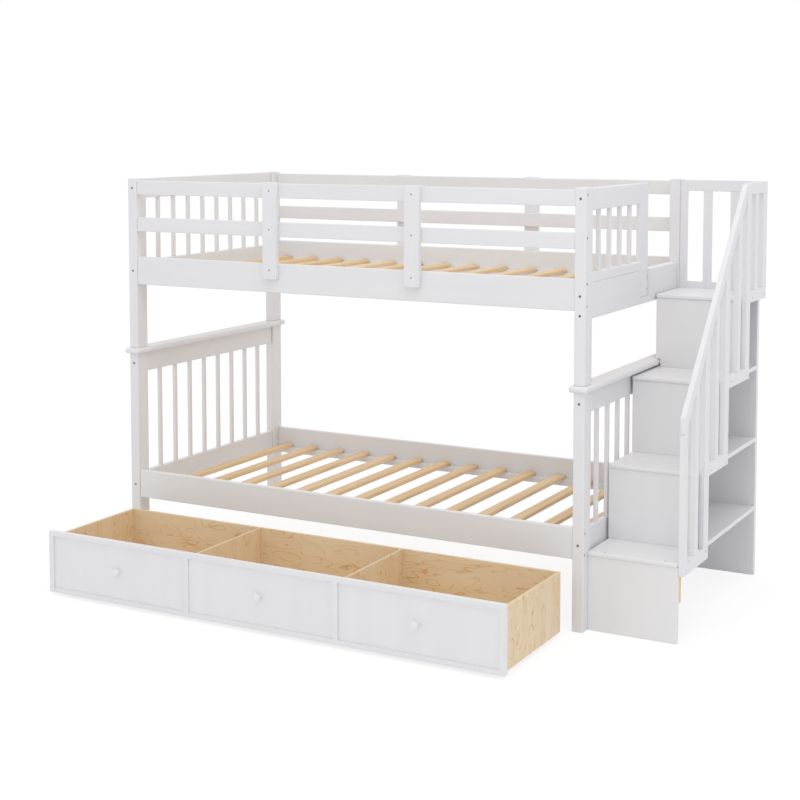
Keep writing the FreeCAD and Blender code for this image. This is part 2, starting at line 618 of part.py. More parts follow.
for face, (y_face, y_way) in FACES.items():
    outer = inward(y_face, y_way, "rail_setback - rail_thick")
    for which in ("left", "right"):
        for rail, level in (("upper_side_rail", "upper_rail_low + rail_height - batten_screw_drop"),
                            ("guard_mid_rail", "guard_mid_low + guard_height / 2"),
                            ("guard_top_rail", "guard_top_low + guard_height / 2")):
            screwed("y", outer, y_way, (f"batten_{which}_mid", level),
                    [f"{face}_{which}_batten", f"{face}_{rail}"])
for drop in ("stile_upper_screw", "stile_lower_screw"):
    screwed("x", "stile_outer", -1, ("entry_stile_end - stile_screw_in", f"entry_board_high - {drop}"),
            ["entry_stile", "entry_end_board"], length="stile_screw_length")
for i in range(4):
    tread = f"stair_tread_{i + 1}" if i < 3 else "stair_platform"
    for x in ("stair_left + tread_screw_left", "stair_right - tread_screw_right"):
        screwed("z", LEVELS[i], -1, (x, f"{RISERS[i]} + board / 2"), [tread, f"stair_riser_{i + 1}"])
    start = "guard_front + newel_width" if i == 0 else f"guard_{STEPS[i - 1]}_end"
    behind = f"stair_shelf_{i + 1}" if i < 3 else "stair_platform"
    in_tread = f"{LEVELS[i]} - board / 2"
    in_behind = f"{LEVELS[i]} - shelf_drop - shelf_thick / 2" if i < 3 else in_tread
    for y, z, part in ((f"{start} + guard_screw_in", in_tread, tread),
                       (f"guard_{STEPS[i]}_end - guard_screw_in", in_behind, behind)):
        screwed("x", guard_x[1], -1, (y, z), [f"stair_guard_rail_{STEPS[i]}", part])

# ---- drawer ----
front_y = ("front_face", "front_inside")
front_z = ("front_low", "front_high")
panel_z = ("front_low + front_bottom", "front_high - front_top")
board("drawer_front_frame", ("front_left", "front_right"), front_y, front_z, soft="wood_soft / 2")
panels, knobs, knob_screws = [], [], []
for i in range(3):
    left = f"front_left + front_end + {i} * (panel_width + front_stile)"
    panel_x = (left, f"{left} + panel_width")
    bore("drawer_front_frame", board(f"front_window_{i + 1}", panel_x, front_y, panel_z, soft=None))
    panels.append(f"drawer_panel_{i + 1}")
    board(panels[-1], panel_x, ("panel_face", "front_inside"), panel_z, soft="wood_soft / 4")
    middle = (f"{left} + panel_width / 2", "knob_high")
    neck = rod(f"knob_neck_{i + 1}", "y", middle, "knob_neck_radius",
               ("panel_face - knob_neck", "panel_face"))
    ball = doc.addObject("Part::Ellipsoid", f"knob_ball_{i + 1}")
    ball.Placement = FreeCAD.Placement(FreeCAD.Vector(), TURNS["y"])
    bind(ball, "Radius1", "knob_depth")
    bind(ball, "Radius2", "knob_radius")
    bind(ball, "Radius3", "knob_radius")
    place(ball, middle[0], "panel_face - knob_neck", "knob_high")
    socket = rod(f"knob_socket_{i + 1}", "y", middle, "screw_hole_radius",
                 ("panel_face - knob_neck / 2", "front_inside"))
    knob = doc.addObject("Part::Cut", f"knob_{i + 1}")
    knob.Base = joined(f"knob_solid_{i + 1}", "Part::MultiFuse", [neck, ball])
    knob.Tool = socket
    knobs.append(knob)
    bore(panels[-1], socket)
    shank = rod(f"knob_shank_{i + 1}", "y", middle, "screw_radius",
                ("panel_face - knob_neck / 2 + screw_tip", "front_inside"))
    screw_head = rod(f"knob_screw_head_{i + 1}", "y", middle, "screw_head_radius",
                     ("front_inside", "front_inside + screw_head_depth"))
    knob_screws.append(joined(f"knob_screw_{i + 1}", "Part::MultiFuse", [shank, screw_head]))

inside_x = ("box_left + box_wall", "box_right - box_wall")
inside_y = ("front_inside", "box_back - box_wall")
box_z = ("box_low", "box_high")
box_soft = "box_wall / 8"
drawer_sides = [
    board("drawer_left_side", ("box_left", inside_x[0]), ("front_inside", "box_back"), box_z,
          soft=box_soft),
    board("drawer_right_side", (inside_x[1], "box_right"), ("front_inside", "box_back"), box_z,
          soft=box_soft),
]
board("drawer_back", inside_x, (inside_y[1], "box_back"), box_z, soft=box_soft)
board("drawer_bottom", inside_x, inside_y, ("bottom_low", "bottom_high"), soft=None)
dividers = []
for i in (1, 2):
    middle = f"front_left + front_end + {i} * (panel_width + front_stile) - front_stile / 2"
    dividers.append(board(f"drawer_divider_{i}",
                          (f"{middle} - divider_thick / 2", f"{middle} + divider_thick / 2"),
                          inside_y, ("bottom_high", "box_high"), soft=box_soft))

# ---- casters: a fork under the drawer's bottom, an axle and a wheel that turns on it ----
CASTERS = {
    "front_left": ("box_left + caster_side", "front_inside + caster_in"),
    "front_right": ("box_right - caster_side", "front_inside + caster_in"),
    "back_left": ("box_left + caster_side", "box_back - caster_in"),
    "back_right": ("box_right - caster_side", "box_back - caster_in"),
}
forks, axles, wheels = [], [], []
inner_half = "wheel_width / 2 + fork_gap"
outer_half = f"{inner_half} + fork_thick"
for corner, (x, y) in CASTERS.items():
    whole = [board(f"fork_plate_{corner}", (f"{x} - ({outer_half})", f"{x} + {outer_half}"),
                   (f"{y} - fork_length / 2", f"{y} + fork_length / 2"),
                   ("bottom_low - fork_thick", "bottom_low"), soft=None)]
    for side, cheek_x in (("left", (f"{x} - ({outer_half})", f"{x} - ({inner_half})")),
                          ("right", (f"{x} + {inner_half}", f"{x} + {outer_half}"))):
        whole.append(board(f"fork_{side}_cheek_{corner}", cheek_x,
                           (f"{y} - fork_length / 4", f"{y} + fork_length / 4"),
                           ("wheel_radius - fork_below_axle", "bottom_low - fork_thick"),
                           soft=None))
    centre = (y, "wheel_radius")
    axle_x = (f"{x} - ({outer_half}) - axle_end", f"{x} + {outer_half} + axle_end")
    fork = doc.addObject("Part::Cut", f"fork_{corner}")
    fork.Base = joined(f"fork_solid_{corner}", "Part::MultiFuse", whole)
    fork.Tool = rod(f"fork_eye_{corner}", "x", centre, "fork_hole_radius", axle_x)
    forks.append(fork)
    axles.append(rod(f"axle_{corner}", "x", centre, "axle_radius", axle_x))
    label = f"caster_wheel_{corner}"
    wheel = doc.addObject("PartDesign::Body", label)
    disc = wheel.newObject("PartDesign::AdditiveCylinder", label + "_disc")
    bind(disc, "Radius", "wheel_radius")
    bind(disc, "Height", "wheel_width")
    eased = wheel.newObject("PartDesign::Fillet", label + "_edges")
    eased.Base = (disc, [""])
    eased.UseAllEdges = True
    bind(eased, "Radius", "wheel_soft")
    wheel.Tip = eased
    wheel.Placement = FreeCAD.Placement(FreeCAD.Vector(), TURNS["x"])
    place(wheel, f"{x} - wheel_width / 2", y, "wheel_radius")
    blanks[label] = wheel
    bore(label, rod(f"wheel_bore_{corner}", "x", centre, "wheel_bore",
                    (f"{x} - wheel_width / 2", f"{x} + wheel_width / 2")))
    wheels.append(label)

# ---- one node for each separate piece, or for each set of equal pieces ----
SINGLE = [
    "entry_end_board", "entry_facing", "entry_stile",
    "stair_side_panel", "stair_back_panel", "stair_back_stile",
    "stair_riser_1", "stair_riser_2", "stair_riser_3", "stair_riser_4",
    "stair_tread_1", "stair_tread_2", "stair_tread_3", "stair_platform", "stair_handrail",
    "drawer_front_frame", "drawer_back", "drawer_bottom", *wheels,
]
nodes = {label: drilled(label) for label in SINGLE}


def group(label, pieces):
    """A node of several like pieces: names of boards, boards or other finished solids."""
    by_body = {body.Name: name for name, body in blanks.items()}
    solids = []
    for piece in pieces:
        name = piece if isinstance(piece, str) else by_body.get(piece.Name)
        solids.append(drilled(name) if name else piece)
    nodes[label] = joined(label, "Part::Compound", solids)


for tier in ("lower", "upper"):
    group(f"{tier}_posts", [post_name(tier, side, face) for side, face in CORNERS])
    group(f"{tier}_side_rails", [f"{face}_{tier}_side_rail" for face in FACES])
    group(f"{tier}_slats", slats[tier])
group("end_caps", ["left_end_cap", "right_end_cap"])
group("lower_end_top_rails", [f"lower_{side}_top_rail" for side in SIDES])
group("lower_end_bottom_rails", [f"lower_{side}_bottom_rail" for side in SIDES])
group("lower_spindles", lower_spindles)
group("upper_left_rails", ["upper_left_bottom_rail", "upper_left_top_rail"])
group("upper_left_spindles", upper_left_spindles)
group("entry_guard_rails", ["entry_guard_bottom_rail", "entry_guard_top_rail"])
group("entry_spindles", entry_spindles)
group("guard_rails", [f"{face}_guard_{which}_rail" for face in FACES for which in ("mid", "top")])
group("guard_battens", [f"{face}_{which}_batten" for face in FACES for which in ("left", "right")])
group("slat_cleats", cleats)
group("post_pins", pins)
group("side_rail_bolts", side_bolts)
group("end_rail_bolts", end_bolts)
group("barrel_nuts", nuts)
group("wood_screws", screws)
group("stair_shelves", shelves)
group("stair_cleats", stair_cleats)
group("stair_guard_rails", guard_rails)
group("stair_guard_posts", guard_posts)
group("stair_balusters", balusters)
group("gate_frame", gate_frame)
group("gate_slats", gate_slats)
group("drawer_panels", panels)
group("drawer_knobs", knobs)
group("knob_screws", knob_screws)
group("drawer_sides", drawer_sides)
group("drawer_dividers", dividers)
group("caster_forks", forks)
group("caster_axles", axles)

doc.recompute()
for thing in doc.Objects:
    if "Invalid" in thing.State or "Error" in thing.State:
        raise RuntimeError(f"{thing.Label}: {thing.State}")
for label, thing in nodes.items():
    shape = thing.Shape
    if shape.isNull() or not shape.isValid() or not shape.Solids:
        raise RuntimeError(f"{label} has no valid solid")
    thing.Label = label
    shape.exportStep(f"parts/{label}.step")
print(len(nodes), "nodes")
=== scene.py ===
import math

import bmesh
import bpy
import numpy as np
from mathutils import Matrix, Vector


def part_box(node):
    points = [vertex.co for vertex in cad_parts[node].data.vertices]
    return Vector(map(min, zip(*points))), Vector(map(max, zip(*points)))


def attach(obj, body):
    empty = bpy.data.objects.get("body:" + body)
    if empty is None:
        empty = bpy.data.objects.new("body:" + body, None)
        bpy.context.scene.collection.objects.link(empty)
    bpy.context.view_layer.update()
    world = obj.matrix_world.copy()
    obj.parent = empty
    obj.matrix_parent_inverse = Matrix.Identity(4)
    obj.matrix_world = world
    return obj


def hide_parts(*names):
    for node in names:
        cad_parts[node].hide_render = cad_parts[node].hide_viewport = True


# Bunk bed with storage stairs. Metres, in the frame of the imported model: the origin is on the
# floor, at the middle of the front left post's foot.
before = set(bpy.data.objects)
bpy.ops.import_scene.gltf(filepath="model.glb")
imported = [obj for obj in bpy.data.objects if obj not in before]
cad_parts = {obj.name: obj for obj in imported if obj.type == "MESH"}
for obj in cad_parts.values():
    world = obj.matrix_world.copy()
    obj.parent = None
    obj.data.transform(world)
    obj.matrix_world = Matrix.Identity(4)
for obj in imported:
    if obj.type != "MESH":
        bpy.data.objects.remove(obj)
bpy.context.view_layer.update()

MM = 0.001
BED = "bed_and_stairs"


# ---- materials ----
def linear(hex_colour):
    """An sRGB hex colour as linear RGBA."""
    shares = [int(hex_colour[i:i + 2], 16) / 255 for i in (1, 3, 5)]
    return [s / 12.92 if s <= 0.04045 else ((s + 0.055) / 1.055) ** 2.4 for s in shares] + [1]


def add(tree, kind, sockets=None, **settings):
    """A shader node with its settings; sockets holds a value or another node's output for each."""
    node = tree.nodes.new("ShaderNode" + kind)
    for name, value in settings.items():
        setattr(node, name, value)
    for name, value in (sockets or {}).items():
        if isinstance(value, bpy.types.NodeSocket):
            tree.links.new(value, node.inputs[name])
        else:
            node.inputs[name].default_value = value
    return node


def begin(name, **sockets):
    """A new material with its surface shader, whose sockets get these constants."""
    material = bpy.data.materials.new(name)
    material.use_nodes = True
    tree = material.node_tree
    shader = tree.nodes["Principled BSDF"]
    for socket, value in sockets.items():
        shader.inputs[socket.replace("_", " ").title().replace("Ior", "IOR")].default_value = value
    return material, tree, shader


def fibres(tree, axis, across, length, shift=None):
    """Surface coordinates in fibres: across mm wide, and length mm long along the axis."""
    scale = [1 / (across * MM)] * 3
    scale["xyz".index(axis)] = 1 / (length * MM)
    place = add(tree, "TexCoord").outputs["Object"]
    if shift:
        place = add(tree, "VectorMath", {0: place, 1: shift}).outputs[0]
    return add(tree, "Mapping", {"Vector": place, "Scale": scale}).outputs[0]


SOFT = {"interpolation_type": "SMOOTHSTEP"}
COLOURS = {"data_type": "RGBA"}


def lacquered_wood(name, axis, low="#E6E6E9", high="#E9E9EB"):
    """White satin lacquer sprayed on planed wood or fibreboard.

    The coat hides the colour of the wood. It leaves a fine orange peel, about 3 mm from crest
    to crest, and a gloss and tone that wander a little along the board where the coat has sunk
    in. The real peel is about half as wide, too fine to show.
    """
    material, tree, shader = begin(name, ior=1.5, roughness=0.42)
    along = fibres(tree, axis, 70, 600)
    sunk = add(tree, "TexNoise", {"Vector": along, "Scale": 1.0, "Detail": 1.0}).outputs[0]
    even = add(tree, "MapRange", {0: sunk, 1: 0.3, 2: 0.7}, **SOFT).outputs[0]
    colour = add(tree, "Mix", {0: even, 6: linear(low), 7: linear(high)}, **COLOURS).outputs[2]
    tree.links.new(colour, shader.inputs["Base Color"])
    gloss = add(tree, "MapRange", {0: sunk, 1: 0.25, 2: 0.75, 3: 0.39, 4: 0.46}, **SOFT)
    tree.links.new(gloss.outputs[0], shader.inputs["Roughness"])
    peel = add(tree, "TexNoise", {"Vector": fibres(tree, axis, 3, 3), "Scale": 1.0, "Detail": 1.0})
    relief = add(tree, "Bump", {"Height": peel.outputs[0], "Distance": 0.03 * MM, "Strength": 0.5})
    tree.links.new(relief.outputs[0], shader.inputs["Normal"])
    return material


def growth_rings(tree, place, count):
    """Lines like a map's contours: a veneer or plank cut through wavy growth rings."""
    height = add(tree, "TexNoise", {"Vector": place, "Scale": 1.0, "Detail": 1.0,
                                    "Roughness": 0.45}).outputs[0]
    lines = add(tree, "Math", {0: height, 1: count}, operation="MULTIPLY").outputs[0]
    return add(tree, "Math", {0: lines, 1: 0.5}, operation="PINGPONG").outputs[0]


SLAT_PITCH = 137              # in mm
CELL_DEPTH = 10.0             # in metres, like the height
CELL_HEIGHT = 0.45


def planed_pine(name, axis):
    """Bare planed pine of the slats.

    Pale straw with thin late-wood lines along the slat, a little browner. Each slat is cut from
    another place in the log, so its lines and its tone differ. A slat has a cell of its own: one
    pitch wide, deeper than the bed, and about half as tall as the beds are apart.
    """
    material, tree, shader = begin(name, ior=1.5, roughness=0.6)
    place = add(tree, "TexCoord").outputs["Object"]
    size = (SLAT_PITCH * MM, CELL_DEPTH, CELL_HEIGHT)
    row = add(tree, "VectorMath", {0: place, 1: size}, operation="DIVIDE").outputs[0]
    cell = add(tree, "VectorMath", {0: row}, operation="FLOOR").outputs[0]
    luck = add(tree, "TexWhiteNoise", {"Vector": cell})
    shift = add(tree, "VectorMath", {0: luck.outputs["Color"], 3: 5.0}, operation="SCALE").outputs[0]
    late = growth_rings(tree, fibres(tree, axis, 20, 1400, shift), 6.0)
    late = add(tree, "MapRange", {0: late, 1: 0.3, 2: 0.5, 4: 0.4}, **SOFT).outputs[0]
    pores = add(tree, "TexNoise", {"Vector": fibres(tree, axis, 1.8, 80, shift), "Scale": 1.0,
                                   "Detail": 3.0}).outputs[0]
    dark = add(tree, "MapRange", {0: pores, 1: 0.5, 2: 0.8, 4: 0.2}, **SOFT).outputs[0]
    tone = add(tree, "Mix", {0: luck.outputs["Value"], 6: linear("#EFD3AB"), 7: linear("#E8C99C")},
               **COLOURS).outputs[2]
    lined = add(tree, "Mix", {0: late, 6: tone, 7: linear("#CDA26C")}, **COLOURS).outputs[2]
    pored = add(tree, "Mix", {0: dark, 6: lined, 7: linear("#BE9562")}, **COLOURS).outputs[2]
    tree.links.new(pored, shader.inputs["Base Color"])
    gloss = add(tree, "MapRange", {0: pores, 1: 0.3, 2: 0.8, 3: 0.52, 4: 0.68}, **SOFT)
    tree.links.new(gloss.outputs[0], shader.inputs["Roughness"])
    relief = add(tree, "Bump", {"Height": pores, "Distance": 0.1 * MM, "Strength": 0.4})
    tree.links.new(relief.outputs[0], shader.inputs["Normal"])
    return material


def birch_plywood(name, axis, edge_axis):
    """Clear-coated birch plywood.

    The rotary-cut face veneer shows curly orange contours along its grain, stronger in
    some places than in others. The cut edge is paler and striped by its plies, edge_axis being
    the way through the board.
    """
    material, tree, shader = begin(name, ior=1.5, roughness=0.45)
    contours = growth_rings(tree, fibres(tree, axis, 42, 150), 6.0)
    contours = add(tree, "MapRange", {0: contours, 1: 0.41, 2: 0.5}, **SOFT).outputs[0]
    patches = add(tree, "TexNoise", {"Vector": fibres(tree, axis, 60, 220), "Scale": 1.0}).outputs[0]
    share = add(tree, "MapRange", {0: patches, 1: 0.35, 2: 0.6, 3: 0.25, 4: 0.8}, **SOFT)
    shown = add(tree, "Math", {0: contours, 1: share.outputs[0]}, operation="MULTIPLY").outputs[0]
    pores = add(tree, "TexNoise", {"Vector": fibres(tree, axis, 1.6, 36), "Scale": 1.0,
                                   "Detail": 3.0}).outputs[0]
    dark = add(tree, "MapRange", {0: pores, 1: 0.5, 2: 0.85, 4: 0.25}, **SOFT).outputs[0]
    tone = add(tree, "Mix", {0: patches, 6: linear("#EEDDC0"), 7: linear("#E1C59C")}, **COLOURS)
    veneer = add(tree, "Mix", {0: shown, 6: tone.outputs[2], 7: linear("#D29C5E")}, **COLOURS)
    veneer = add(tree, "Mix", {0: dark, 6: veneer.outputs[2], 7: linear("#CBAB80")}, **COLOURS)
    plies = add(tree, "SeparateXYZ", {0: fibres(tree, "z", 3.0, 40)}).outputs["xyz".index(edge_axis)]
    plies = add(tree, "Math", {0: plies, 1: 0.5}, operation="PINGPONG").outputs[0]
    plies = add(tree, "MapRange", {0: plies, 1: 0.15, 2: 0.35}, **SOFT).outputs[0]
    edge = add(tree, "Mix", {0: plies, 6: linear("#EBD9BC"), 7: linear("#DCC39D")}, **COLOURS)
    normal = add(tree, "TexCoord").outputs["Normal"]
    upward = add(tree, "SeparateXYZ", {0: normal}).outputs[2]
    upward = add(tree, "Math", {0: upward}, operation="ABSOLUTE").outputs[0]
    cut = add(tree, "MapRange", {0: upward, 1: 0.75, 2: 0.9}, **SOFT).outputs[0]
    if edge_axis == "z":
        cut = add(tree, "Math", {0: 1.0, 1: cut}, operation="SUBTRACT").outputs[0]
    both = add(tree, "Mix", {0: cut, 6: veneer.outputs[2], 7: edge.outputs[2]}, **COLOURS)
    tree.links.new(both.outputs[2], shader.inputs["Base Color"])
    gloss = add(tree, "MapRange", {0: pores, 1: 0.3, 2: 0.8, 3: 0.4, 4: 0.52}, **SOFT)
    tree.links.new(gloss.outputs[0], shader.inputs["Roughness"])
    relief = add(tree, "Bump", {"Height": pores, "Distance": 0.08 * MM, "Strength": 0.4})
    tree.links.new(relief.outputs[0], shader.inputs["Normal"])
    return material


def small_metalwork(name, low, high, smooth, rough):
    """Zinc plated or phosphated steel: cloudy patches from the bath, 2.5 mm wide."""
    material, tree, shader = begin(name, metallic=1.0, roughness=smooth)
    patches = add(tree, "TexNoise", {"Vector": fibres(tree, "z", 2.5, 2.5), "Scale": 1.0,
                                     "Detail": 4.0}).outputs[0]
    colour = add(tree, "Mix", {0: patches, 6: linear(low), 7: linear(high)}, **COLOURS).outputs[2]
    tree.links.new(colour, shader.inputs["Base Color"])
    gloss = add(tree, "MapRange", {0: patches, 1: 0.3, 2: 0.7, 3: smooth, 4: rough}, **SOFT)
    tree.links.new(gloss.outputs[0], shader.inputs["Roughness"])
    relief = add(tree, "Bump", {"Height": patches, "Distance": 0.02 * MM, "Strength": 0.4})
    tree.links.new(relief.outputs[0], shader.inputs["Normal"])
    return material


def moulded_nylon(name, low, high):
    """Moulded nylon: an even, slightly mottled colour with a fine-grained, half-matt skin."""
    material, tree, shader = begin(name, ior=1.53, roughness=0.5)
    grit = add(tree, "TexNoise", {"Vector": fibres(tree, "z", 0.8, 0.8), "Scale": 1.0,
                                  "Detail": 3.0}).outputs[0]
    colour = add(tree, "Mix", {0: grit, 6: linear(low), 7: linear(high)}, **COLOURS).outputs[2]
    tree.links.new(colour, shader.inputs["Base Color"])
    gloss = add(tree, "MapRange", {0: grit, 1: 0.3, 2: 0.7, 3: 0.45, 4: 0.6}, **SOFT)
    tree.links.new(gloss.outputs[0], shader.inputs["Roughness"])
    relief = add(tree, "Bump", {"Height": grit, "Distance": 0.05 * MM, "Strength": 0.4})
    tree.links.new(relief.outputs[0], shader.inputs["Normal"])
    return material


LACQUER = {axis: lacquered_wood(f"white_lacquer_on_pine_{axis}", axis) for axis in "xyz"}
LACQUER["board"] = lacquered_wood("white_lacquer_on_fibreboard", "z", "#E7E7E9", "#E9E9EA")
SLAT_PINE = planed_pine("planed_pine_slats", "y")
CLEAT_PINE = planed_pine("planed_pine_cleats", "z")
LONG_PLY = birch_plywood("birch_plywood_long", "x", "y")
UPRIGHT_PLY = birch_plywood("birch_plywood_upright", "z", "x")
BOTTOM_PLY = birch_plywood("birch_plywood_bottom", "x", "z")
ZINC = small_metalwork("zinc_plated_steel", "#9C9EA1", "#B9BABD", 0.3, 0.45)
PHOSPHATED = small_metalwork("grey_phosphated_steel", "#8A8A8E", "#A0A0A6", 0.45, 0.6)
TYRE = moulded_nylon("grey_nylon_tyre", "#2B2C2F", "#35363A")

NODE_MATERIALS = [
    (LACQUER["x"], "lower_side_rails upper_side_rails guard_rails slat_cleats drawer_front_frame"),
    (LACQUER["y"], "end_caps lower_end_top_rails lower_end_bottom_rails upper_left_rails "
                   "entry_end_board entry_facing entry_guard_rails stair_handrail "
                   "stair_guard_rails"),
    (LACQUER["z"], "lower_posts upper_posts lower_spindles upper_left_spindles entry_stile "
                   "entry_spindles guard_battens stair_back_stile stair_guard_posts "
                   "stair_balusters gate_frame gate_slats"),
    (LACQUER["board"], "stair_riser_1 stair_riser_2 stair_riser_3 stair_riser_4 stair_tread_1 "
                       "stair_tread_2 stair_tread_3 stair_platform stair_shelves "
                       "stair_side_panel stair_back_panel drawer_panels"),
    (SLAT_PINE, "lower_slats upper_slats"),
    (CLEAT_PINE, "stair_cleats"),
    (LONG_PLY, "drawer_back"),
    (UPRIGHT_PLY, "drawer_sides drawer_dividers"),
    (BOTTOM_PLY, "drawer_bottom"),
    (ZINC, "barrel_nuts post_pins"),
]
for material, names in NODE_MATERIALS:
    for name in names.split():
        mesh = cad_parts[name].data
        mesh.materials.clear()
        mesh.materials.append(material)


# ---- turned, drilled and bent pieces that are finer than their solids ----
def solids(node):
    """Low corner, high corner and corners of each separate solid of a node."""
    whole = bmesh.new()
    whole.from_mesh(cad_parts[node].data)
    bmesh.ops.remove_doubles(whole, verts=whole.verts, dist=1e-6)
    found, left = [], set(whole.verts)
    while left:
        island, edge = set(), {left.pop()}
        while edge:
            island |= edge
            edge = {link.other_vert(v) for v in edge for link in v.link_edges} - island
        left -= island
        points = np.array([v.co[:] for v in island])
        found.append((points.min(0), points.max(0), points))
    whole.free()
    return sorted(found, key=lambda solid: tuple(solid[0].round(4)))


END_BAND = 0.3 * MM           # corners this close to an end of a solid belong to its end face


def heads(node):
    """For each round solid: a matrix at its head's middle, with +Z pointing out, and its length."""
    places = []
    for low, high, points in solids(node):
        axis = int(np.argmax(high - low))
        middle = (low + high) / 2
        away = np.delete(points - middle, axis, 1)
        reach = np.hypot(away[:, 0], away[:, 1])
        top = reach[points[:, axis] > high[axis] - END_BAND].max()
        foot = reach[points[:, axis] < low[axis] + END_BAND].max()
        way = 1 if top > foot else -1
        head = middle.copy()
        head[axis] = high[axis] if way > 0 else low[axis]
        direction = Vector([way if i == axis else 0 for i in range(3)])
        turn = Vector((0, 0, 1)).rotation_difference(direction).to_matrix().to_4x4()
        places.append((Matrix.Translation(head) @ turn, float(high[axis] - low[axis])))
    return places


SIDES = 48                    # sides of a turned skin


def turned(mesh, rings, matrix=Matrix(), closed=True):
    """Skin of revolution about Z. A ring is (height, radius) in mm; radius may depend on the angle."""
    rows = []
    for height, radius in rings:
        row = []
        for i in range(SIDES):
            angle = math.tau * i / SIDES
            reach = radius(angle) if callable(radius) else radius
            row.append(mesh.verts.new(matrix @ Vector((reach * math.cos(angle) * MM,
                                                       reach * math.sin(angle) * MM, height * MM))))
        rows.append(row)
    for above, below in zip(rows, rows[1:]):
        for i in range(SIDES):
            j = (i + 1) % SIDES
            mesh.faces.new((above[i], above[j], below[j], below[i]))
    if closed:
        mesh.faces.new(rows[0])
        mesh.faces.new(rows[-1][::-1])


def finish_piece(name, mesh, material, body, nodes, crease=35):
    """A piece from a finished mesh, smooth but for edges sharper than the crease in degrees."""
    bmesh.ops.recalc_face_normals(mesh, faces=mesh.faces)
    for face in mesh.faces:
        face.smooth = True
    for edge in mesh.edges:
        if len(edge.link_faces) == 2 and edge.calc_face_angle(0) > math.radians(crease):
            edge.smooth = False
    data = bpy.data.meshes.new(name)
    mesh.to_mesh(data)
    mesh.free()
    piece = bpy.data.objects.new(name, data)
    bpy.context.scene.collection.objects.link(piece)
    data.materials.append(material)
    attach(piece, body)
    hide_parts(*nodes)
    return piece


def hexagon(across_flats):
    """Radius of a hexagon at an angle."""
    step = math.pi / 3
    return lambda angle: across_flats / 2 / math.cos((angle % step) - step / 2)


def cross(arm, half_width):
    """Radius of a cross-shaped recess at an angle."""
    def radius(angle):
        tilt = (angle + math.pi / 4) % (math.pi / 2) - math.pi / 4
        if abs(math.tan(tilt)) < half_width / arm:
            return arm / math.cos(tilt)
        return half_width / abs(math.sin(tilt))
    return radius


def bolt(mesh, matrix, length):
    """Cylinder-head bolt with a hexagon socket, its head 5 mm tall."""
    end = -length / MM
    socket = [(-2.6, hexagon(3.8)), (-0.3, hexagon(4.0)), (0, hexagon(4.5))]
    head = [(0, 3.9), (-0.5, 4.4), (-4.6, 4.5), (-5, 4.2), (-5, 3)]
    turned(mesh, socket + head + [(end + 0.6, 3), (end, 2.4)], matrix)


def wood_screw(mesh, matrix, length):
    """Flat-head screw with a cross recess."""
    end = -length / MM
    recess = [(-1.5, cross(1.2, 0.4)), (-0.1, cross(2.1, 0.55)), (0, cross(2.3, 0.7))]
    head = [(0, 3.3), (-0.2, 3.5), (-0.5, 3.5), (-2, 2)]
    turned(mesh, recess + head + [(end + 3, 1.9), (end, 0.5)], matrix)


def fasteners(name, make, node, body, metal):
    """One piece with a bolt, screw or axle made for each solid of the node."""
    mesh = bmesh.new()
    for matrix, length in heads(node):
        make(mesh, matrix, length)
    return finish_piece(name, mesh, metal, body, [node])


fasteners("side_rail_socket_bolts", bolt, "side_rail_bolts", BED, PHOSPHATED)
fasteners("end_rail_socket_bolts", bolt, "end_rail_bolts", BED, PHOSPHATED)
fasteners("cross_recess_screws", wood_screw, "wood_screws", BED, ZINC)
fasteners("knob_fixing_screws", wood_screw, "knob_screws", "drawer", ZINC)


def rivet(mesh, matrix, length):
    """Axle with a riveted head at each end."""
    end = -length / MM
    turned(mesh, [(0, 1.6), (-0.3, 2.6), (-0.7, 3), (-1, 3.0), (end + 1, 3.0), (end + 0.7, 3),
                  (end + 0.3, 2.6), (end, 1.6)], matrix)


fasteners("caster_rivet_axles", rivet, "caster_axles", "drawer", ZINC)


# turned knobs, flared at the foot and domed in front; the profile's heights are stretched to
# each knob's own depth
KNOB_PROFILE = [(0, 8.6), (0.8, 8.9), (1.8, 8.6), (3.2, 7.4), (5.5, 6.5), (9, 6.1), (12.5, 6.6),
                (15.5, 8.6), (17.6, 11.6), (19.6, 13.9), (21.8, 14.9), (23.6, 14.9), (25.6, 14.1),
                (27.4, 12.4), (29, 9.7), (30.2, 6.4), (30.8, 3.2), (31, 0.8)]
mesh = bmesh.new()
for low, high, _ in solids("drawer_knobs"):
    foot = Vector(((low[0] + high[0]) / 2, high[1], (low[2] + high[2]) / 2))
    out = Matrix.Translation(foot) @ Matrix.Rotation(math.pi / 2, 4, "X")
    stretch = float(high[1] - low[1]) / MM / KNOB_PROFILE[-1][0]
    turned(mesh, [(height * stretch, radius) for height, radius in KNOB_PROFILE], out)
finish_piece("turned_knobs", mesh, LACQUER["board"], "drawer", ["drawer_knobs"], 60)

# caster wheels: tyre with rounded shoulders, sunk web and a hub
HALF_WHEEL = [(8, 3.2), (8, 6.2), (7.6, 6.8), (5.2, 7.2), (5, 8), (5, 14), (5.4, 14.8), (7, 15.3),
              (7.4, 15.8), (7.4, 17.4), (6.9, 18.6), (5.9, 19.5), (4.4, 20)]
for corner in ("front_left", "front_right", "back_left", "back_right"):
    node = f"caster_wheel_{corner}"
    low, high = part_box(node)
    mesh = bmesh.new()
    matrix = Matrix.Translation((low + high) / 2) @ Matrix.Rotation(math.pi / 2, 4, "Y")
    rings = HALF_WHEEL + [(-height, radius) for height, radius in HALF_WHEEL[::-1]]
    turned(mesh, rings + [HALF_WHEEL[0]], matrix, closed=False)
    bmesh.ops.remove_doubles(mesh, verts=mesh.verts, dist=1e-6)
    finish_piece(f"{node}_tyre", mesh, TYRE, f"wheel_{corner}", [node])

